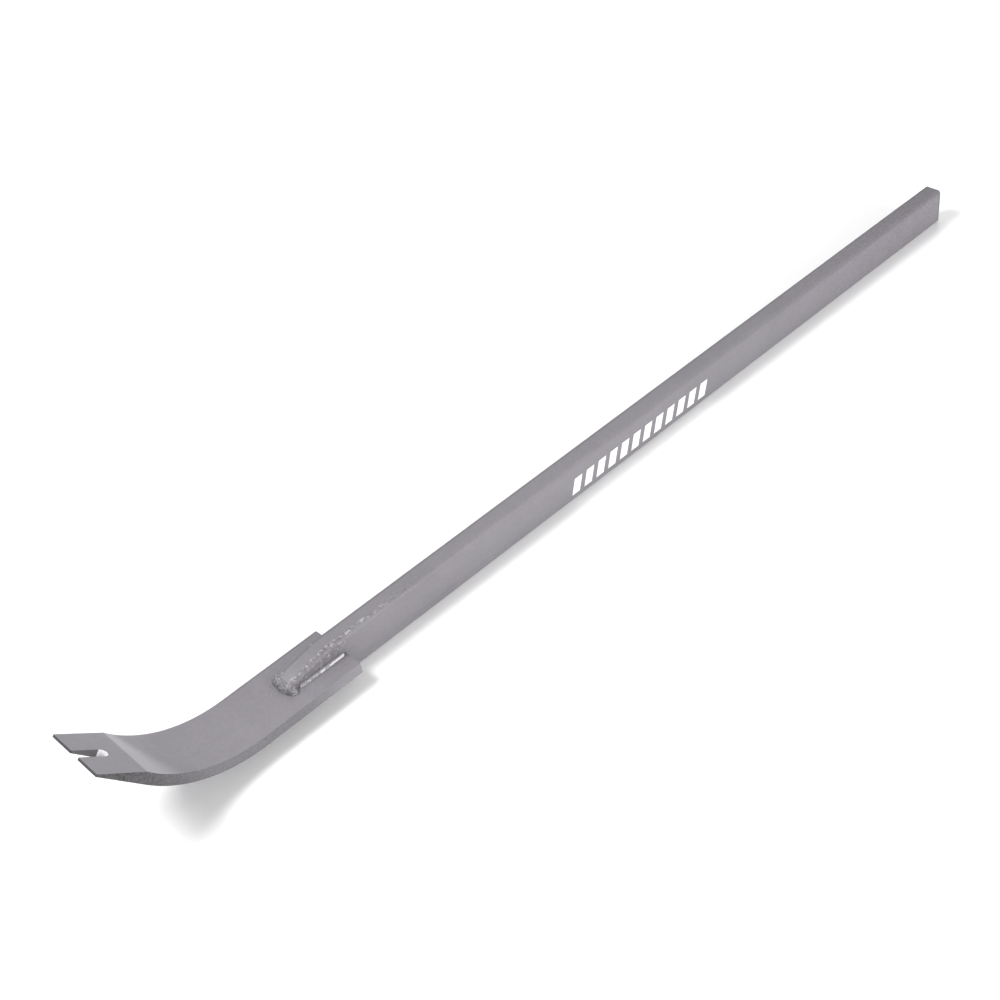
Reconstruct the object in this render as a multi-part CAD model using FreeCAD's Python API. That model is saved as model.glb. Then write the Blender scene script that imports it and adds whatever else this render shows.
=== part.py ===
"""Long demolition pry bar: a bent steel claw plate slotted through and welded to
a rectangular tube handle that stands on its narrow face. Millimetres.

+X runs along the handle to its end cap, +Y to the left of the bar, +Z up.
Origin: middle of the bar's length and width, on the floor it lies on."""
import FreeCAD, Part
import math
import os

os.makedirs("parts", exist_ok=True)
V = FreeCAD.Vector

# ---- handle: rectangular steel tube on edge -------------------------------
HANDLE_LENGTH = 1121.0      # rear edge of the claw plate to the end cap's face
TUBE_WIDTH = 25.4           # narrow faces, top and bottom
TUBE_HEIGHT = 50.8          # broad faces, left and right
TUBE_WALL = 3.0
TUBE_CORNER = 5.0           # outer corner radius

# ---- closed noses of the slotted tube, above and below the claw plate -----
TOP_NOSE_REACH = 74.0       # how far the tube runs forward over the plate
TOP_NOSE_RUN = 52.0         # length of the top nose's slope
BOTTOM_NOSE_REACH = 66.0
BOTTOM_NOSE_RUN = 26.0
NOSE_LIP = 9.0              # upright front of each nose, above or below the plate

# ---- claw plate -----------------------------------------------------------
PLATE_WIDTH = 76.2
PLATE_THICKNESS = 14.0
PLATE_TOP = 31.0            # height of its straight part's upper face
TANG_LENGTH = 131.0         # straight part in front of the rear edge
BEND_RADIUS = 159.0         # upper, hollow side of the bend
BEND_TOP_ANGLE = 54.0       # where the ground bevel starts
BEVEL_ANGLE = 40.5          # slope of the ground upper face
BEVEL_LENGTH = 59.0
TIP_THICKNESS = 3.2
PLATE_EDGE_BREAK = 1.0      # small chamfer on the plate's rear corners

# ---- nail slot ------------------------------------------------------------
SLOT_WIDTH = 12.5
SLOT_DEPTH = 38.0           # along the bevel, to the round inner end

# ---- end cap --------------------------------------------------------------
CAP_THICKNESS = 5.0
CAP_INSET = 4.0             # room for the weld around the cap
CAP_BEVEL = 3.6             # the weld is ground back to this bevel
CAP_CORNER = 1.5

# ---- weld beads -----------------------------------------------------------
SIDE_BEAD = 4.0             # leg of the long fillet beads
NOSE_BEAD = 10.0            # heavy beads that close the tube's noses
BEAD_REAR_GAP = 3.0         # bead's end to the plate's rear edge

CUT_ROOM = 20.0             # how far a cutting solid runs past what it cuts


def rad(degrees):
    return math.radians(degrees)


def bend_point(radius, angle):
    """Point of the bend in the side view, measured from the plate's rear edge."""
    centre_z = PLATE_TOP + BEND_RADIUS
    return (-TANG_LENGTH - radius * math.sin(rad(angle)),
            centre_z - radius * math.cos(rad(angle)))


CREASE = bend_point(BEND_RADIUS, BEND_TOP_ANGLE)
TIP_TOP = (CREASE[0] - BEVEL_LENGTH * math.cos(rad(BEVEL_ANGLE)),
           CREASE[1] + BEVEL_LENGTH * math.sin(rad(BEVEL_ANGLE)))
# the underside leaves the bend where its straight run leaves the tip's thickness
UNDER_RADIUS = BEND_RADIUS + PLATE_THICKNESS
TIP_OUT = -TANG_LENGTH - TIP_TOP[0]
TIP_DOWN = PLATE_TOP + BEND_RADIUS - TIP_TOP[1]
BEND_BOTTOM_ANGLE = math.degrees(
    math.atan2(TIP_OUT, TIP_DOWN)
    - math.acos((UNDER_RADIUS - TIP_THICKNESS) / math.hypot(TIP_OUT, TIP_DOWN)))
EDGE_LEAN = 0.5 * (BEVEL_ANGLE + BEND_BOTTOM_ANGLE)
TIP_FRONT = TIP_TOP[0] - TIP_THICKNESS * math.sin(rad(EDGE_LEAN))
# X of the plate's rear edge that puts the bar's middle at X = 0
REAR = -0.5 * (HANDLE_LENGTH + TIP_FRONT)
SEAM_Y = TUBE_WIDTH / 2
PLATE_BOTTOM = PLATE_TOP - PLATE_THICKNESS


def rounded_bar(width, height, corner, x0, x1, z_mid):
    """Solid bar along X with rounded long edges."""
    box = Part.makeBox(x1 - x0, width, height,
                       V(x0, -width / 2, z_mid - height / 2))
    edges = [e for e in box.Edges
             if abs(e.Vertexes[0].Point.x - e.Vertexes[1].Point.x) > 1]
    return box.makeFillet(corner, edges)


def claw_outline():
    """Side view of the claw plate, without the slot."""
    top_mid = bend_point(BEND_RADIUS, BEND_TOP_ANGLE / 2)
    under_mid = bend_point(UNDER_RADIUS, BEND_BOTTOM_ANGLE / 2)
    under_end = bend_point(UNDER_RADIUS, BEND_BOTTOM_ANGLE)
    tip_bottom = (TIP_FRONT,
                  under_end[1] + (under_end[0] - TIP_FRONT)
                  * math.tan(rad(BEND_BOTTOM_ANGLE)))

    def at(p):
        return V(REAR + p[0], -PLATE_WIDTH / 2, p[1])

    rear_top, rear_bottom = at((0, PLATE_TOP)), at((0, PLATE_BOTTOM))
    bend_top, bend_bottom = at((-TANG_LENGTH, PLATE_TOP)), at((-TANG_LENGTH, PLATE_BOTTOM))
    edges = [
        Part.makeLine(rear_top, bend_top),
        Part.Arc(bend_top, at(top_mid), at(CREASE)).toShape(),
        Part.makeLine(at(CREASE), at(TIP_TOP)),
        Part.makeLine(at(TIP_TOP), at(tip_bottom)),
        Part.makeLine(at(tip_bottom), at(under_end)),
        Part.Arc(at(under_end), at(under_mid), bend_bottom).toShape(),
        Part.makeLine(bend_bottom, rear_bottom),
        Part.makeLine(rear_bottom, rear_top),
    ]
    return Part.Wire(edges)


def nail_slot():
    """Round-ended cutter, square to the bevel, running past both faces."""
    half = SLOT_WIDTH / 2
    straight = SLOT_DEPTH - half
    depth = 2 * PLATE_THICKNESS + 2 * CUT_ROOM
    cutter = Part.makeBox(straight + CUT_ROOM, SLOT_WIDTH, depth, V(-CUT_ROOM, -half, -depth / 2))
    cutter = cutter.fuse(Part.makeCylinder(half, depth, V(straight, 0, -depth / 2)))
    cutter.rotate(V(0, 0, 0), V(0, 1, 0), BEVEL_ANGLE)
    cutter.translate(V(REAR + TIP_TOP[0], 0, TIP_TOP[1]))
    return cutter.removeSplitter()


def claw_plate():
    body = Part.Face(claw_outline()).extrude(V(0, PLATE_WIDTH, 0))
    corners = [e for e in body.Edges
               if all(abs(v.Point.x - REAR) < 0.01 for v in e.Vertexes)
               and abs(e.Vertexes[0].Point.z - e.Vertexes[1].Point.z) > 1]
    return body.makeChamfer(PLATE_EDGE_BREAK, corners).cut(nail_slot())


def fold(body, inset, corner, tip_x, run, drop, up):
    """Fold the top wall (up = 1) or bottom wall (up = -1) down towards the plate.

    The folded wall keeps the tube's rounded corners. It is the body's part inside a
    long bar of the same width, tilted about the line where the fold starts."""
    angle = math.atan2(drop, run)
    face_z = (TUBE_HEIGHT if up > 0 else 0) - up * inset / math.cos(angle)
    length, depth = 2 * HANDLE_LENGTH, HANDLE_LENGTH / 2
    width = TUBE_WIDTH - 2 * inset
    tilted = Part.makeBox(length, width, depth,
                          V(-length / 4, -width / 2, -depth if up > 0 else 0))
    long_edges = [e for e in tilted.Edges
                  if all(abs(v.Point.z) < 0.01 for v in e.Vertexes)
                  and abs(e.Vertexes[0].Point.x - e.Vertexes[1].Point.x) > 1]
    tilted = tilted.makeFillet(corner, long_edges)
    tilted.rotate(V(0, 0, 0), V(0, 1, 0), -up * math.degrees(angle))
    tilted.translate(V(tip_x + run, 0, face_z))
    return body.common(tilted)


def nose_blank(inset, corner):
    """Solid form of the tube with both folded noses, shrunk by the inset."""
    front = REAR - max(TOP_NOSE_REACH, BOTTOM_NOSE_REACH)
    rear = REAR + HANDLE_LENGTH - CAP_THICKNESS
    width, height = TUBE_WIDTH - 2 * inset, TUBE_HEIGHT - 2 * inset
    form = rounded_bar(width, height, corner, front - 1, rear, TUBE_HEIGHT / 2)
    middle = PLATE_TOP - PLATE_THICKNESS / 2
    for reach, run, seam_z, up in ((TOP_NOSE_REACH, TOP_NOSE_RUN, PLATE_TOP, 1),
                                   (BOTTOM_NOSE_REACH, BOTTOM_NOSE_RUN, PLATE_BOTTOM, -1)):
        tip_x = REAR - reach
        face_z = TUBE_HEIGHT if up > 0 else 0
        form = fold(form, inset, corner, tip_x, run, abs(face_z - seam_z) - NOSE_LIP, up)
        ahead = Part.makeBox(tip_x + inset - front + CUT_ROOM, 2 * TUBE_WIDTH, TUBE_HEIGHT,
                             V(front - CUT_ROOM, -TUBE_WIDTH,
                               middle if up > 0 else middle - TUBE_HEIGHT))
        form = form.cut(ahead)
    return form.removeSplitter()


def handle_tube(plate):
    """Slotted tube whose top and bottom walls are folded onto the plate."""
    outside = nose_blank(0, TUBE_CORNER)
    inside = nose_blank(TUBE_WALL, TUBE_CORNER - TUBE_WALL)
    return outside.cut(inside).cut(plate)


def end_cap():
    """Flat plate that closes the tube's end."""
    x0 = REAR + HANDLE_LENGTH - CAP_THICKNESS
    return rounded_bar(TUBE_WIDTH - 2 * CAP_INSET, TUBE_HEIGHT - 2 * CAP_INSET,
                       CAP_CORNER, x0, x0 + CAP_THICKNESS, TUBE_HEIGHT / 2)


def end_cap_weld(cap):
    """Bead dressed to a small bevel around the cap."""
    x0 = REAR + HANDLE_LENGTH - CAP_THICKNESS
    ring = rounded_bar(TUBE_WIDTH, TUBE_HEIGHT, TUBE_CORNER,
                       x0, x0 + CAP_THICKNESS, TUBE_HEIGHT / 2)
    face_edges = [e for e in ring.Edges
                  if all(abs(v.Point.x - x0 - CAP_THICKNESS) < 0.01 for v in e.Vertexes)]
    return ring.makeChamfer(CAP_BEVEL, face_edges).cut(cap)


def nose_bead(tip_x, seam_z, others):
    """Heavy bead across a nose, rolled over onto both sides."""
    centre = V(tip_x, -SEAM_Y, seam_z)
    bead = Part.makeCylinder(NOSE_BEAD, TUBE_WIDTH, centre, V(0, 1, 0))
    for y in (-SEAM_Y, SEAM_Y):
        bead = bead.fuse(Part.makeSphere(NOSE_BEAD, V(tip_x, y, seam_z)))
    return remainder(bead, others)


def side_bead(side, tip_x, seam_z, others):
    """Long fillet bead between the plate's face and one side of the tube."""
    x1 = REAR - BEAD_REAR_GAP - SIDE_BEAD
    start = V(tip_x, side * SEAM_Y, seam_z)
    bead = Part.makeCylinder(SIDE_BEAD, x1 - tip_x, start, V(1, 0, 0))
    bead = bead.fuse(Part.makeSphere(SIDE_BEAD, V(x1, side * SEAM_Y, seam_z)))
    return remainder(bead, others)


def remainder(bead, others):
    """Outer part of a bead once the welded pieces are cut away."""
    for other in others:
        bead = bead.cut(other)
    return max(bead.removeSplitter().Solids, key=lambda solid: solid.Volume)


def main():
    plate = claw_plate()
    tube = handle_tube(plate)
    cap = end_cap()
    # the beads are trimmed by the solid form of the tube, so none lies inside it
    blank = nose_blank(0, TUBE_CORNER)
    top_tip, low_tip = REAR - TOP_NOSE_REACH, REAR - BOTTOM_NOSE_REACH
    top_nose = nose_bead(top_tip, PLATE_TOP, (plate, blank))
    low_nose = nose_bead(low_tip, PLATE_BOTTOM, (plate, blank))
    nodes = {
        "claw_plate": plate,
        "handle_tube": tube,
        "end_cap": cap,
        "end_cap_weld": end_cap_weld(cap),
        "weld_top_nose": top_nose,
        "weld_top_left": side_bead(1, top_tip, PLATE_TOP, (plate, blank, top_nose)),
        "weld_top_right": side_bead(-1, top_tip, PLATE_TOP, (plate, blank, top_nose)),
        "weld_bottom_nose": low_nose,
        "weld_bottom_left": side_bead(1, low_tip, PLATE_BOTTOM, (plate, blank, low_nose)),
        "weld_bottom_right": side_bead(-1, low_tip, PLATE_BOTTOM, (plate, blank, low_nose)),
    }
    for name, shape in nodes.items():
        print(name, shape.ShapeType, len(shape.Solids), round(shape.Volume),
              shape.isValid(), shape.isClosed(), shape.BoundBox)
        shape.exportStep("parts/" + name + ".step")


main()
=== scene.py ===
import math
import random

import bmesh
import bpy
from mathutils import Matrix, Vector, noise


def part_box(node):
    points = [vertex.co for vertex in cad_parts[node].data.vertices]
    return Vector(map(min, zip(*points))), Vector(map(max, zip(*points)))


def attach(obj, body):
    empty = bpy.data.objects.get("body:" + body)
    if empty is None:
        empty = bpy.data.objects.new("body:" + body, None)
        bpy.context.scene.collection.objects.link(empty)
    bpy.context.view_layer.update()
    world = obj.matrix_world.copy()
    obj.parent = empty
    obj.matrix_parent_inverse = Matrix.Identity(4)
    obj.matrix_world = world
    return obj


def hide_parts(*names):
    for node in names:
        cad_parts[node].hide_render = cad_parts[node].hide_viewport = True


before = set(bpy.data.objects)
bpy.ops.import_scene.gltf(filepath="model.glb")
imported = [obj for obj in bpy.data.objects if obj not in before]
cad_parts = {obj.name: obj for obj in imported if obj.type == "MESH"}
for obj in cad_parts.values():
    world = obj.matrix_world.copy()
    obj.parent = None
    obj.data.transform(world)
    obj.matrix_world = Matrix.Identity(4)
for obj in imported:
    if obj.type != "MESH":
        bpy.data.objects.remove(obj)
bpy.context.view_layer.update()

# ------------------------------------------------------ places on the object
MM = 0.001
plate_low, plate_high = (Vector(c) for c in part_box("claw_plate"))
tube_low, tube_high = (Vector(c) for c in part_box("handle_tube"))
REAR = plate_high.x                            # the claw plate's rear edge
PLATE_HALF = plate_high.y
TUBE_HALF = tube_high.y
TUBE_MID_Z = (tube_low.z + tube_high.z) / 2
TUBE_CORNER = 0.005                            # how far in the tube's rolled edges begin
TUBE_EDGE = TUBE_HALF - TUBE_CORNER
SEAM_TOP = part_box("weld_top_nose")[0][2]       # the plate's upper face
SEAM_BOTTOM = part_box("weld_bottom_nose")[1][2]     # and its lower face
NOSE_BACK_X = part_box("weld_top_nose")[1][0]    # the nose welds lie before this, the fillets behind
CREASE_X = plate_low.x + 0.0472                # the ridge between the bend and the ground bevel
TIP_TOP = (plate_low.x + 0.00230, 0.0, plate_high.z)
BEVEL_NORMAL = (0.6494, 0.0, 0.7604)           # the ground bevel faces this way
BEVEL_ALONG = (0.7604, 0.0, -0.6494)           # and runs this way from the tip
SLOT_HALF = 0.00625
THROAT_DEPTH = 0.0318                          # from the tip to where the slot's round end starts

# ------------------------------------------------------------------- colours
COAT_GREY = (0.210, 0.200, 0.218)
COAT_DARK = (0.187, 0.178, 0.194)
COAT_LIGHT = (0.224, 0.214, 0.233)
TUBE_SHADE = 0.940                             # painted shade: the tube's coat is a shade darker than the claw's, dimming the brightly lit tube
CAP_SHADE = 0.9
COAT_WORN = (0.16, 0.15, 0.16)                 # thin coat on rolled edges
# painted shade for the claw's sheared sides
SIDE_SHADE_PAINT = (0.02, 0.019, 0.02)
# painted highlight for the wedge where the bend meets the ground bevel
WEDGE_HIGHLIGHT_PAINT = (0.50, 0.485, 0.51)
EDGE_AND_SLOT_SHADE_PAINT = (0.035, 0.033, 0.036)             # painted shade for the leading edge and the slot's walls
# painted highlight for the slot throat's round end
THROAT_HIGHLIGHT_PAINT = (0.68, 0.67, 0.68)
# painted shade along the upper left edges, which roll away from the light
FAR_EDGE_SHADE_PAINT = (0.055, 0.052, 0.055)
GRIME = (0.100, 0.090, 0.088)
# bare flecks on the tube's welded sides, and painted glints on the weld noses
FLECKS_AND_GLINTS = (0.50, 0.49, 0.51)
# bare chips and painted glints along the tube's upper right edge
CHIPS_AND_GLINTS = (0.48, 0.46, 0.49)
CHIP_DARK = (0.090, 0.072, 0.078)
WELD_DARK = (0.172, 0.164, 0.175)
WELD_LIGHT = (0.236, 0.225, 0.243)
WELD_PIT = (0.062, 0.058, 0.062)
WELD_BARE = (0.52, 0.51, 0.53)
FILLET_PALE = (0.31, 0.30, 0.32)
# painted highlight for the fillets' crests
FILLET_HIGHLIGHT_PAINT = (0.64, 0.63, 0.65)
INK = (0.86, 0.86, 0.88)
INK_THIN = (0.50, 0.48, 0.52)
FLOOR_PALE = (0.95, 0.95, 0.95, 1)

FAR_EDGE_SHADE_AMOUNT = 0.30
WEDGE_AMOUNT = 0.40
LEADING_EDGE_AMOUNT = 0.82
SLOT_WALL_AMOUNT = 0.72


# ----------------------------------------------------------------- materials
class Surface:
    """A new material, with short ways to add nodes to it and join them."""

    def __init__(self, name):
        self.material = bpy.data.materials.new(name)
        self.material.use_nodes = True
        tree = self.material.node_tree
        self.nodes, self.links = tree.nodes, tree.links
        self.nodes.clear()
        out = self.nodes.new("ShaderNodeOutputMaterial")
        self.shader = self.nodes.new("ShaderNodeBsdfPrincipled")
        self.links.new(self.shader.outputs[0], out.inputs[0])

    def feed(self, socket, value):
        """Link another node's output to the socket, or set it to a plain value."""
        if isinstance(value, bpy.types.NodeSocket):
            self.links.new(value, socket)
        else:
            socket.default_value = value

    def where(self):
        return self.nodes.new("ShaderNodeTexCoord").outputs["Object"]

    def separate(self, vector):
        n = self.nodes.new("ShaderNodeSeparateXYZ")
        self.links.new(vector, n.inputs[0])
        return n.outputs["X"], n.outputs["Y"], n.outputs["Z"]

    def noise(self, vector, scale, detail, rough=0.55, distortion=0.0):
        n = self.nodes.new("ShaderNodeTexNoise")
        for key, value in (("Scale", scale), ("Detail", detail), ("Roughness", rough),
                           ("Distortion", distortion), ("Vector", vector)):
            self.feed(n.inputs[key], value)
        return n.outputs["Fac"]

    def ramp(self, value, low, high, to_low=0.0, to_high=1.0, smooth=True):
        n = self.nodes.new("ShaderNodeMapRange")
        n.interpolation_type = "SMOOTHSTEP" if smooth else "LINEAR"
        for key, v in (("Value", value), ("From Min", low), ("From Max", high),
                       ("To Min", to_low), ("To Max", to_high)):
            self.feed(n.inputs[key], v)
        return n.outputs["Result"]

    def math(self, operation, a, b=0.0):
        n = self.nodes.new("ShaderNodeMath")
        n.operation = operation
        self.feed(n.inputs[0], a)
        self.feed(n.inputs[1], b)
        return n.outputs[0]

    def absolute(self, value):
        return self.math("ABSOLUTE", value)

    def times(self, *values):
        out = values[0]
        for value in values[1:]:
            out = self.math("MULTIPLY", out, value)
        return out

    def vector(self, operation, a, b):
        n = self.nodes.new("ShaderNodeVectorMath")
        n.operation = operation
        self.feed(n.inputs[0], a)
        self.feed(n.inputs[1], b)
        return n

    def dot(self, a, b):
        return self.vector("DOT_PRODUCT", a, b).outputs["Value"]

    def mix(self, factor, a, b):
        n = self.nodes.new("ShaderNodeMix")
        n.data_type = "RGBA"
        self.feed(n.inputs[0], factor)
        for socket, colour in ((n.inputs[6], a), (n.inputs[7], b)):
            self.feed(socket, (*colour, 1) if isinstance(colour, tuple) else colour)
        return n.outputs[2]

    def finish(self, colour, roughness, height, strength, distance):
        """Feed the shader its colour, roughness and bump."""
        self.feed(self.shader.inputs["Base Color"], colour)
        self.feed(self.shader.inputs["Roughness"], roughness)
        b = self.nodes.new("ShaderNodeBump")
        b.inputs["Strength"].default_value = strength
        b.inputs["Distance"].default_value = distance
        self.links.new(height, b.inputs["Height"])
        self.links.new(b.outputs[0], self.shader.inputs["Normal"])
        return self.material


def claw_tones(s, where, place, geometry, colour):
    """The claw's tones: painted shade on the sheared sides, darker towards the tip, a painted
    highlight in a lighter wedge where the bend meets the ground bevel, painted shade on the
    leading edge and the slot's walls, a painted highlight in the slot's throat, and painted
    shade along the straight part of the upper left edge.

    Returns the colour, and None: no part of the claw is rougher than the rest."""
    px, py, _ = place
    true_normal = geometry.outputs["True Normal"]
    _, facing_y, facing_z = s.separate(true_normal)
    far_out = s.absolute(py)
    # painted shade on the two sheared sides, deepening towards the tip
    side = s.ramp(s.absolute(facing_y), 0.7, 0.95)
    outer = s.ramp(far_out, PLATE_HALF - 0.004, PLATE_HALF - 0.002)
    rear_part = s.ramp(px, REAR - 0.02, REAR - 0.08, 0.0, 0.34)
    tip_part = s.ramp(px, REAR - 0.18, REAR - 0.29, 0.0, 0.48)
    grain = s.ramp(s.noise(where, 700.0, 3.0, 0.65), 0.36, 0.64, 0.70, 1.25)
    shade = s.times(side, outer, grain, s.math("ADD", rear_part, tip_part))
    colour = s.mix(shade, colour, SIDE_SHADE_PAINT)
    # a painted highlight: the lighter wedge, on up-facing faces only, is widest at the right-hand side
    up = s.ramp(facing_z, 0.3, 0.5)
    reach = s.ramp(py, -PLATE_HALF, PLATE_HALF, 0.038, 0.013, False)
    past = s.math("DIVIDE", s.math("SUBTRACT", px, CREASE_X), reach)
    wedge = s.times(up, s.ramp(past, 1.0, 0.25), s.ramp(past, -0.02, 0.03))
    colour = s.mix(s.times(wedge, WEDGE_AMOUNT), colour, WEDGE_HIGHLIGHT_PAINT)
    # painted shade darkens the ground leading edge
    front = s.ramp(px, plate_low.x + 0.0026, plate_low.x + 0.0020)
    colour = s.mix(s.times(front, LEADING_EDGE_AMOUNT), colour, EDGE_AND_SLOT_SHADE_PAINT)
    # painted shade darkens the nail slot's walls, and a painted highlight brightens its throat
    wall = s.ramp(s.absolute(s.dot(true_normal, BEVEL_NORMAL)), 0.75, 0.55)
    inside = s.times(wall, s.ramp(far_out, SLOT_HALF + 0.002, SLOT_HALF + 0.001),
                     s.ramp(px, CREASE_X + 0.001, CREASE_X - 0.001))
    colour = s.mix(s.times(inside, SLOT_WALL_AMOUNT), colour, EDGE_AND_SLOT_SHADE_PAINT)
    # a painted highlight where the throat's round end begins
    from_tip = s.vector("SUBTRACT", where, TIP_TOP).outputs["Vector"]
    along = s.dot(from_tip, BEVEL_ALONG)
    throat = s.times(inside, s.ramp(along, THROAT_DEPTH - 0.0005, THROAT_DEPTH + 0.0010))
    colour = s.mix(throat, colour, THROAT_HIGHLIGHT_PAINT)
    # painted shade along the upper left edge, which rolls away from the light
    left = s.times(s.ramp(py, PLATE_HALF - 0.0036, PLATE_HALF - 0.0018),
                   s.ramp(px, REAR - 0.170, REAR - 0.100))
    return s.mix(s.times(left, FAR_EDGE_SHADE_AMOUNT), colour, FAR_EDGE_SHADE_PAINT), None


def tube_tones(s, where, place, geometry, colour):
    """The tube's edges: painted shade along the upper left edge, chipped paint and painted glints
    along the upper right edge beside the weld, and grimy, heat-marked sides between that edge and the
    weld.

    Returns the colour and how rough the surface is, 0 to 1."""
    px, py, pz = place
    facing_z = s.separate(geometry.outputs["True Normal"])[2]
    upward = s.ramp(facing_z, 0.25, 0.55)
    # painted shade along the upper left edge, which rolls away from the light
    left = s.times(upward, s.ramp(py, TUBE_EDGE - 0.0012, TUBE_EDGE + 0.0005))
    colour = s.mix(s.times(left, FAR_EDGE_SHADE_AMOUNT), colour, FAR_EDGE_SHADE_PAINT)
    chips = s.noise(where, 260.0, 4.0, 0.70)
    # the welded-on stretch of both sides, above the plate
    sides = s.ramp(s.absolute(py), TUBE_EDGE, TUBE_EDGE + 0.0015)
    welded = s.times(sides, s.ramp(px, REAR + 0.012, REAR - 0.008),
                     s.ramp(pz, SEAM_TOP - 0.001, SEAM_TOP + 0.001))
    grime = s.ramp(chips, 0.58, 0.38, 0.0, 0.38)
    colour = s.mix(s.times(welded, grime), colour, GRIME)
    fleck = s.times(welded, s.ramp(chips, 0.60, 0.66), 0.6)
    colour = s.mix(fleck, colour, FLECKS_AND_GLINTS)
    # chipped paint and painted glints lie along the line where the flat top rolls over
    across = s.absolute(s.math("ADD", py, TUBE_EDGE))
    line = s.times(upward, s.ramp(across, 0.0030, 0.0012))
    bright = s.times(line, s.ramp(px, REAR + 0.100, REAR + 0.030),
                     s.ramp(chips, 0.545, 0.60), 0.8)
    colour = s.mix(bright, colour, CHIPS_AND_GLINTS)
    dark = s.times(line, s.ramp(px, REAR + 0.150, REAR + 0.090),
                   s.ramp(chips, 0.42, 0.37), 0.55)
    return s.mix(dark, colour, CHIP_DARK), welded


def shaded(tone, by):
    return tuple(by * c for c in tone)


def powder_coat(name, base, dark, light, tones=None, wear=0.35):
    """Matt powder coat over steel: mottled colour, fine orange peel, worn edges."""
    s = Surface(name)
    where = s.where()
    place = s.separate(where)
    broad = s.noise(where, 9.0, 3.0)
    cloud = s.noise(where, 55.0, 5.0, 0.6)
    mottle = s.noise(where, 330.0, 4.0, 0.65, 0.6)
    peel = s.noise(where, 900.0, 2.0, 0.5)
    grit = s.noise(where, 2600.0, 2.0, 0.6)
    colour = s.mix(s.ramp(cloud, 0.35, 0.68), base, light)
    colour = s.mix(s.ramp(broad, 0.42, 0.72, 0.0, 0.55), colour, dark)
    # towards the held end the coat turns a little more purple
    purple = s.mix(s.ramp(mottle, 0.40, 0.66), shaded(dark, 0.90),
                   (light[0] * 1.10, light[1] * 1.02, light[2] * 1.10))
    handled = s.ramp(place[0], 0.25, 0.62, 0.22, 0.75)
    colour = s.mix(handled, colour, purple)
    colour = s.mix(s.ramp(grit, 0.66, 0.74, 0.0, 0.5), colour, dark)
    geometry = s.nodes.new("ShaderNodeNewGeometry")
    roughened = None
    if tones:
        colour, roughened = tones(s, where, place, geometry, colour)
    # rolled edges, found by how far a bevel would turn the normal, are rubbed in patches
    bevel = s.nodes.new("ShaderNodeBevel")
    bevel.samples = 6
    bevel.inputs["Radius"].default_value = 0.0016
    edge = s.ramp(s.dot(bevel.outputs[0], geometry.outputs["Normal"]), 0.985, 0.90)
    rub = s.ramp(s.noise(where, 160.0, 5.0, 0.65), 0.50, 0.66)
    colour = s.mix(s.times(edge, rub, wear), colour, COAT_WORN)
    s.shader.inputs["Specular IOR Level"].default_value = 0.4
    height = s.math("ADD", s.times(peel, 0.7), s.times(grit, 0.3))
    if roughened is not None:
        height = s.math("ADD", height, s.times(roughened, mottle, 5.0))
    return s.finish(colour, s.ramp(cloud, 0.3, 0.7, 0.44, 0.58), height, 0.25, 0.0004)


def weld_coat():
    """Thin paint over rippled weld metal: darker valleys, and a painted highlight on the fillets'
    crests.
    """
    s = Surface("weld_bead_coat")
    where = s.where()
    px, py, pz = s.separate(where)
    blotch = s.noise(where, 260.0, 5.0, 0.7)
    fine = s.noise(where, 1500.0, 3.0, 0.6)
    pits = s.nodes.new("ShaderNodeTexVoronoi")
    pits.inputs["Scale"].default_value = 420.0
    s.links.new(where, pits.inputs["Vector"])
    colour = s.mix(s.ramp(blotch, 0.34, 0.60), WELD_DARK, WELD_LIGHT)
    fillet = s.ramp(px, NOSE_BACK_X - 0.003, NOSE_BACK_X + 0.001)
    nose = s.ramp(px, NOSE_BACK_X + 0.001, NOSE_BACK_X - 0.003)
    # the heavy noses are pitted deeper than the fillets, and carry painted glints in small bright
    # specks
    depth = s.ramp(nose, 0.0, 1.0, 0.20, 0.66, False)
    pitted = s.times(depth, s.ramp(pits.outputs["Distance"], 0.44, 0.60))
    colour = s.mix(pitted, colour, WELD_PIT)
    colour = s.mix(s.times(nose, s.ramp(fine, 0.56, 0.64), 0.55), colour, FLECKS_AND_GLINTS)
    colour = s.mix(s.times(s.ramp(blotch, 0.62, 0.68), 0.7), colour, WELD_BARE)
    # the long fillets are paler, and carry a painted highlight in dashes along the half nearer the
    # plate
    colour = s.mix(s.times(fillet, 0.60), colour, FILLET_PALE)
    mid_z, half_thickness = (SEAM_TOP + SEAM_BOTTOM) / 2, (SEAM_TOP - SEAM_BOTTOM) / 2
    out = s.math("SUBTRACT", s.absolute(py), TUBE_HALF)
    off = s.absolute(s.math("SUBTRACT", pz, mid_z))
    climb = s.math("ARCTAN2", s.math("SUBTRACT", off, half_thickness), out)
    dashes = s.noise(where, 230.0, 2.0, 0.5)
    more = s.ramp(px, NOSE_BACK_X, REAR - 0.030, -0.02, 0.10, False)
    crest = s.times(s.ramp(climb, 0.10, 0.22), s.ramp(climb, 0.95, 0.78), fillet,
                    s.ramp(s.math("ADD", dashes, more), 0.50, 0.55))
    colour = s.mix(crest, colour, FILLET_HIGHLIGHT_PAINT)
    return s.finish(colour, s.ramp(fine, 0.3, 0.7, 0.30, 0.50),
                    s.math("ADD", blotch, fine), 0.4, 0.0005)


def white_print():
    """White screen-printed ink, slightly thin and rubbed."""
    s = Surface("white_print")
    thin = s.noise(s.where(), 420.0, 5.0, 0.7)
    colour = s.mix(s.ramp(thin, 0.60, 0.74, 0.0, 0.5), INK, INK_THIN)
    return s.finish(colour, 0.42, thin, 0.15, 0.0002)


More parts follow.
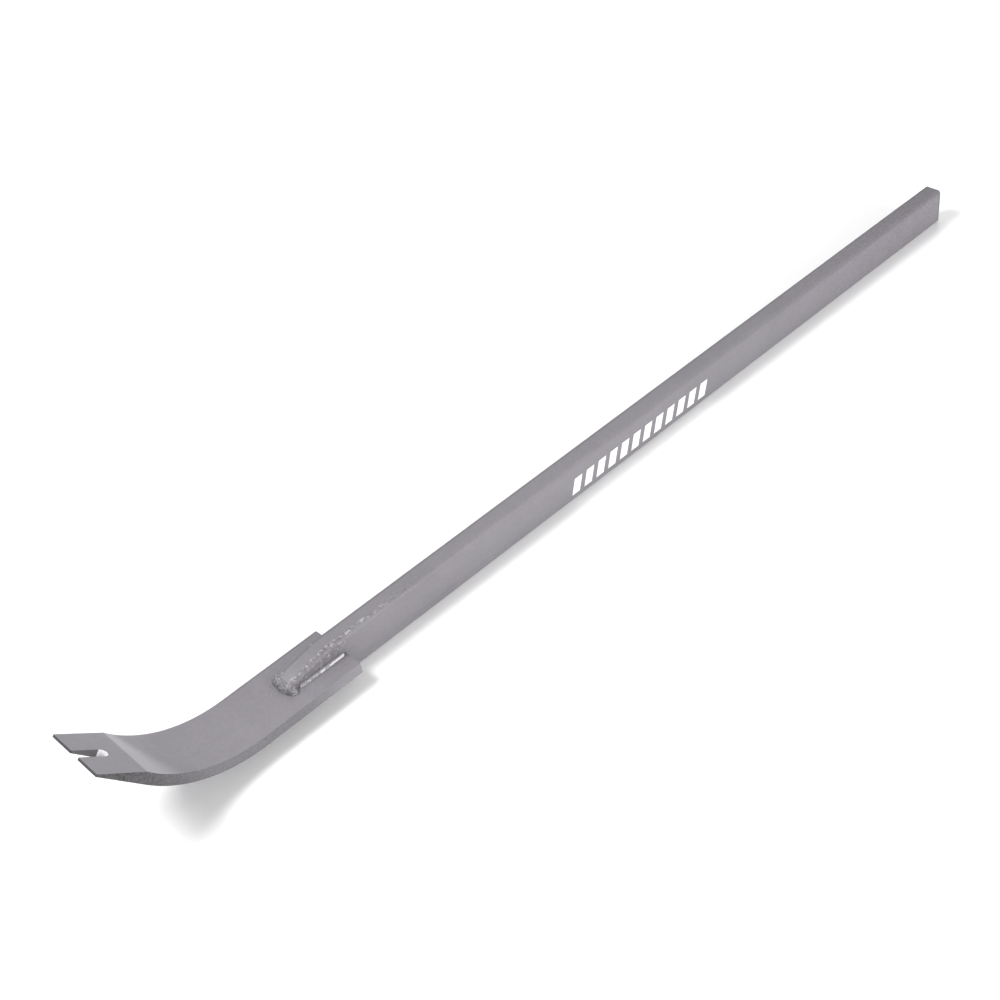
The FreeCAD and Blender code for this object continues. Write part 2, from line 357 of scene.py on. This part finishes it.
claw_paint = powder_coat("claw_powder_coat", COAT_GREY, COAT_DARK, COAT_LIGHT, claw_tones)
tube_paint = powder_coat("tube_powder_coat", shaded(COAT_GREY, TUBE_SHADE),
                         shaded(COAT_DARK, TUBE_SHADE), shaded(COAT_LIGHT, TUBE_SHADE), tube_tones)
cap_paint = powder_coat("cap_powder_coat", shaded(COAT_GREY, CAP_SHADE), COAT_DARK, COAT_GREY,
                        wear=0.5)
weld_paint = weld_coat()

# -------------------------------------------------------------------- pieces
MERGE_DISTANCE = 2e-6
FLAT_ENOUGH = math.radians(0.6)      # coplanar faces of the CAD mesh are joined below this
SHARP_ABOVE = math.radians(30.0)
RIPPLE_PITCH = 1.9 * MM              # from one weld puddle to the next
RING_PITCH = 0.32 * MM               # from one section of a bead's mesh to the next
RING_POINTS = 20
NOSE_FILL = (0.84, 0.86, 0.88)       # how much of its CAD box each nose deposit fills


def add_piece(name, bm, material, nodes_replaced=(), smooth=True):
    # every closed skin faces outwards, so that its volume is positive
    if bm.calc_volume(signed=True) < 0:
        bmesh.ops.reverse_faces(bm, faces=bm.faces)
    mesh = bpy.data.meshes.new(name)
    bm.to_mesh(mesh)
    bm.free()
    for p in mesh.polygons:
        p.use_smooth = smooth
    ob = bpy.data.objects.new(name, mesh)
    bpy.context.scene.collection.objects.link(ob)
    mesh.materials.append(material)
    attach(ob, "root")
    if nodes_replaced:
        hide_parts(*nodes_replaced)
    return ob


def cad_copy(node):
    bm = bmesh.new()
    bm.from_mesh(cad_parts[node].data)
    bmesh.ops.remove_doubles(bm, verts=bm.verts, dist=MERGE_DISTANCE)
    return bm


def softened_copy(node, name, material, width, segments, angle=20.0):
    """The CAD piece with its hard edges rolled over, as sheared and painted steel is."""
    bm = cad_copy(node)
    bmesh.ops.dissolve_limit(bm, angle_limit=FLAT_ENOUGH, verts=bm.verts, edges=bm.edges)
    ob = add_piece(name, bm, material, (node,))
    bev = ob.modifiers.new("rolled_edges", "BEVEL")
    bev.width = width
    bev.segments = segments
    bev.limit_method = "ANGLE"
    bev.angle_limit = math.radians(angle)
    bev.harden_normals = True
    bev.use_clamp_overlap = True


def crisp_copy(node, name, material):
    """The CAD piece as it is, its edges left sharp: its rim is too thin to roll over."""
    ob = add_piece(name, cad_copy(node), material, (node,))
    ob.data.set_sharp_from_angle(angle=SHARP_ABOVE)


softened_copy("claw_plate", "claw_plate_body", claw_paint, 0.6 * MM, 3)
softened_copy("handle_tube", "handle_tube_body", tube_paint, 0.5 * MM, 2, 24.0)
softened_copy("end_cap", "end_cap_plate", cap_paint, 0.35 * MM, 2)
crisp_copy("end_cap_weld", "end_cap_bead", cap_paint)


def bead(name, node, path, radius_at, seed):
    """A weld laid as overlapping puddles along a path: a lumpy quarter-round with ripples.

    path(t) gives (centre, across, up) for t in 0..1; across and up span the bead's section."""
    rng = random.Random(seed)
    offset = Vector((rng.uniform(0, 50), rng.uniform(0, 50), rng.uniform(0, 50)))
    length = sum((path((i + 1) / 60)[0] - path(i / 60)[0]).length for i in range(60))
    rings = max(24, int(length / RING_PITCH))
    bm = bmesh.new()
    rows = []
    for i in range(rings + 1):
        t = i / rings
        centre, across, up = path(t)
        row = []
        for j in range(RING_POINTS + 1):
            a = math.pi * 0.5 * j / RING_POINTS
            # each puddle's rim bows backwards, so the ripple's phase depends on the angle
            s = t * length + 1.1 * MM * math.sin(2 * a)
            phase = (s / RIPPLE_PITCH) % 1.0
            crest = (1 - phase) ** 0.6 * 0.9
            r = radius_at(t) * (0.86 + 0.11 * crest)
            outward = across * math.cos(a) + up * math.sin(a)
            p = centre + outward * r
            lump = noise.noise((p + offset) * 190.0) * 0.55 * MM
            lump += noise.noise((p + offset) * 620.0) * 0.22 * MM
            # no lumps at the two feet, which stay on the steel
            foot = math.sin(2 * a) ** 0.35 if 0 < j < RING_POINTS else 0.0
            row.append(bm.verts.new(p + outward * lump * foot))
        row.append(bm.verts.new(centre - (across + up) * 0.4 * MM))
        rows.append(row)
    n = RING_POINTS + 2
    for i in range(rings):
        for j in range(n):
            k = (j + 1) % n
            bm.faces.new((rows[i][j], rows[i][k], rows[i + 1][k], rows[i + 1][j]))
    bm.faces.new(rows[0][::-1])
    bm.faces.new(rows[-1])
    bmesh.ops.recalc_face_normals(bm, faces=bm.faces)
    add_piece(name, bm, weld_paint, (node,))


def side_path(node, side, up_sign, seam_z):
    """The straight corner that a fillet fills, and the fillet's leg."""
    low, high = (Vector(c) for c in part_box(node))

    def path(t):
        x = low.x + (high.x - low.x) * t
        return Vector((x, side * TUBE_HALF, seam_z)), Vector((0, side, 0)), Vector((0, 0, up_sign))
    return path, high.z - low.z


def taper(full):
    """A bead's radius along its length: full, but drawn in at both ends."""
    def radius(t):
        end = min(t, 1 - t)
        return full * (0.35 + 0.65 * min(1, end / 0.045) ** 0.5)
    return radius


for i, (label, side, up) in enumerate((("top_left", 1, 1), ("top_right", -1, 1),
                                       ("bottom_left", 1, -1), ("bottom_right", -1, -1))):
    node = "weld_" + label
    path, leg = side_path(node, side, up, SEAM_TOP if up > 0 else SEAM_BOTTOM)
    bead(node + "_bead", node, path, taper(leg), seed=11 + i)


def nose_lump(name, node, seam_z, up, seed):
    """The heavy deposit that closes a nose: several passes piled on each other."""
    low, high = (Vector(c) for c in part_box(node))
    reach = (high.x - low.x) / 2
    half_y = (high.y - low.y) / 2
    middle_x = low.x + reach
    fill_x, fill_y, fill_z = NOSE_FILL
    rng = random.Random(seed)
    passes = [(rng.uniform(-0.5, 0.3), rng.uniform(-0.8, 0.8), rng.uniform(0.1, 0.55),
               rng.uniform(0.28, 0.45)) for _ in range(16)]
    bm = bmesh.new()
    bmesh.ops.create_icosphere(bm, subdivisions=6, radius=1.0)
    for v in bm.verts:
        n = v.co.copy()
        # a stadium-like lump: square-ish along Y, round along X
        y = math.copysign(abs(n.y) ** 0.62, n.y)
        flat = max(1e-6, math.hypot(n.x, n.z)) ** 0.25
        x, z = n.x * flat, abs(n.z) * flat
        bulge = 1.0
        for px, py, pz, pr in passes:
            d = Vector((x - px, (y - py) * 1.4, z - pz)).length
            bulge += 0.12 * math.exp(-(d / pr) ** 2)
        bulge += 0.02 * math.sin(26.0 * y + 5.0 * x)
        p = Vector((x * reach * fill_x * bulge, y * half_y * fill_y, z * reach * fill_z * bulge))
        # lumps a few millimetres across, then a finer roughness outwards from the middle
        p += Vector((noise.noise(p * 210 + Vector((seed, 0, 0))),
                     noise.noise(p * 210 + Vector((0, seed, 0))),
                     noise.noise(p * 210 + Vector((0, 0, seed))))) * 0.6 * MM
        p += p.normalized() * noise.noise(p * 560 + Vector((seed, seed, 0))) * 0.45 * MM
        if n.z < 0:
            p.z = -0.3 * MM          # the base lies just inside the plate
        v.co = Vector((middle_x + p.x, p.y, seam_z + up * p.z))
    # nothing stands far outside the room that the CAD gives this weld
    for v in bm.verts:
        v.co.x = max(low.x, min(high.x, v.co.x))
        v.co.y = max(low.y, min(high.y, v.co.y))
        v.co.z = max(low.z - 0.4 * MM, min(high.z + 0.4 * MM, v.co.z))
    bmesh.ops.recalc_face_normals(bm, faces=bm.faces)
    add_piece(name, bm, weld_paint, (node,))


nose_lump("weld_top_nose_deposit", "weld_top_nose", SEAM_TOP, 1, 3)
nose_lump("weld_bottom_nose_deposit", "weld_bottom_nose", SEAM_BOTTOM, -1, 8)


def spatter(name, count, seed):
    """Small balls of weld spatter frozen on the plate and the tube beside the seams."""
    rng = random.Random(seed)
    bm = bmesh.new()
    low, high = (Vector(c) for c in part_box("weld_top_right"))
    nose_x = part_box("weld_top_nose")[0][0]
    for _ in range(count):
        r = rng.uniform(0.25, 0.75) * MM
        kind = rng.random()
        x = rng.uniform(low.x, high.x)
        if kind < 0.45:              # on the plate, beside the fillets
            p = Vector((x, rng.choice((-1, -1, 1)) * (TUBE_HALF + rng.uniform(5, 11) * MM), SEAM_TOP))
            n = Vector((0, 0, 1))
        elif kind < 0.7:             # on the plate, before the nose
            p = Vector((nose_x - rng.uniform(0, 9) * MM, rng.uniform(-16, 16) * MM, SEAM_TOP))
            n = Vector((0, 0, 1))
        else:
            # the upright part of the side grows from 4 mm at the nose as the top wall rises
            x = rng.uniform(low.x + 12 * MM, high.x)
            room = 4 * MM + 0.2 * (x - low.x)
            side = rng.choice((-1, -1, 1))
            p = Vector((x, side * TUBE_HALF, SEAM_TOP + rng.uniform(4.5 * MM, max(5 * MM, room - MM))))
            n = Vector((0, side, 0))
        turn = Vector((0, 0, 1)).rotation_difference(n).to_matrix().to_4x4()
        place = Matrix.Translation(p - n * 0.15 * r) @ turn @ Matrix.Diagonal((1, 1, 0.7, 1))
        bmesh.ops.create_icosphere(bm, subdivisions=2, radius=r, matrix=place)
    add_piece(name, bm, weld_paint, ())


spatter("weld_spatter", 60, 5)


def printed_mark():
    """A plain row of slanted dashes, printed on the tube's right side."""
    bm = bmesh.new()
    front_y, back_y = -TUBE_HALF - 0.04 * MM, -TUBE_HALF + 0.02 * MM
    start, low_z, height = REAR + 0.354, TUBE_MID_Z - 16.0 * MM, 21.4 * MM
    count, pitch, dash, lean = 12, 21.05 * MM, 12.9 * MM, 6.8 * MM
    for i in range(count):
        x = start + i * pitch
        corners = [(x, low_z), (x + dash, low_z),
                   (x + dash + lean, low_z + height), (x + lean, low_z + height)]
        front = [bm.verts.new((a, front_y, b)) for a, b in corners]
        back = [bm.verts.new((a, back_y, b)) for a, b in corners]
        bm.faces.new(front)
        bm.faces.new(back[::-1])
        for k in range(4):
            bm.faces.new((front[k], back[k], back[(k + 1) % 4], front[(k + 1) % 4]))
    bmesh.ops.recalc_face_normals(bm, faces=bm.faces)
    add_piece("printed_dashes", bm, white_print(), (), False)


printed_mark()

# ----------------------------------------------------------------- the stage
FLOOR_HALF = 14.0
SKY_STRENGTH = 0.42


def pale_floor():
    mesh = bpy.data.meshes.new("floor")
    bm = bmesh.new()
    bmesh.ops.create_grid(bm, x_segments=2, y_segments=2, size=FLOOR_HALF)
    bm.to_mesh(mesh)
    bm.free()
    floor = bpy.data.objects.new("floor", mesh)
    bpy.context.scene.collection.objects.link(floor)
    s = Surface("pale_floor")
    s.shader.inputs["Base Color"].default_value = FLOOR_PALE
    s.shader.inputs["Roughness"].default_value = 0.9
    s.shader.inputs["Specular IOR Level"].default_value = 0.1
    mesh.materials.append(s.material)


def area(name, place, aim, size, power):
    light = bpy.data.lights.new(name, "AREA")
    light.shape = "RECTANGLE"
    light.size, light.size_y = size
    light.energy = power
    ob = bpy.data.objects.new(name, light)
    ob.location = place
    ob.rotation_euler = (Vector(aim) - Vector(place)).to_track_quat("-Z", "Y").to_euler()
    bpy.context.scene.collection.objects.link(ob)


pale_floor()
world = bpy.data.worlds.new("studio")
bpy.context.scene.world = world
world.use_nodes = True
sky = world.node_tree.nodes["Background"]
sky.inputs[0].default_value = (1, 1, 1, 1)
sky.inputs[1].default_value = SKY_STRENGTH
area("key_over_claw", (-1.8, 1.0, 2.9), (-0.5, 0, 0), (1.1, 1.1), 92)
area("side_fill", (0.20, -2.6, 0.9), (-0.05, 0, 0), (1.9, 1.1), 63)
area("weld_kicker", (0.55, -1.6, 1.36), (-0.43, 0, 0.03), (0.5, 0.35), 2)
area("far_end_wash", (1.9, 0.9, 1.7), (1.35, 0.3, 0), (1.0, 1.0), 9)
area("back_wash", (0.9, 2.6, 2.0), (0.7, 1.9, 0), (1.6, 1.6), 13)
bpy.context.scene.view_settings.view_transform = "Standard"

# ---------------------------------------------------------------- the camera
LOOK = Vector((0.47886, 0.58866, -0.65129))
UP = Vector((0.52246, 0.40510, 0.75029))
# the eye's place from the middle of the plate's rear edge, at the tube's mid height
EYE_FROM_REAR = Vector((-0.6052, -1.0552, 1.2078))
SENSOR = 36                          # millimetres
FOCAL_RATIO = 1.5688                 # focal length as a multiple of the sensor's width

cam_data = bpy.data.cameras.new("camera")
cam_data.sensor_width = SENSOR
cam_data.lens = SENSOR * FOCAL_RATIO
cam_data.clip_end = 60
cam = bpy.data.objects.new("camera", cam_data)
bpy.context.scene.collection.objects.link(cam)
back = -LOOK.normalized()
right = UP.cross(back).normalized()
true_up = back.cross(right)
cam.matrix_world = (Matrix.Translation(Vector((REAR, 0, TUBE_MID_Z)) + EYE_FROM_REAR)
                    @ Matrix((right, true_up, back)).transposed().to_4x4())
bpy.context.scene.camera = cam

bpy.context.view_layer.update()
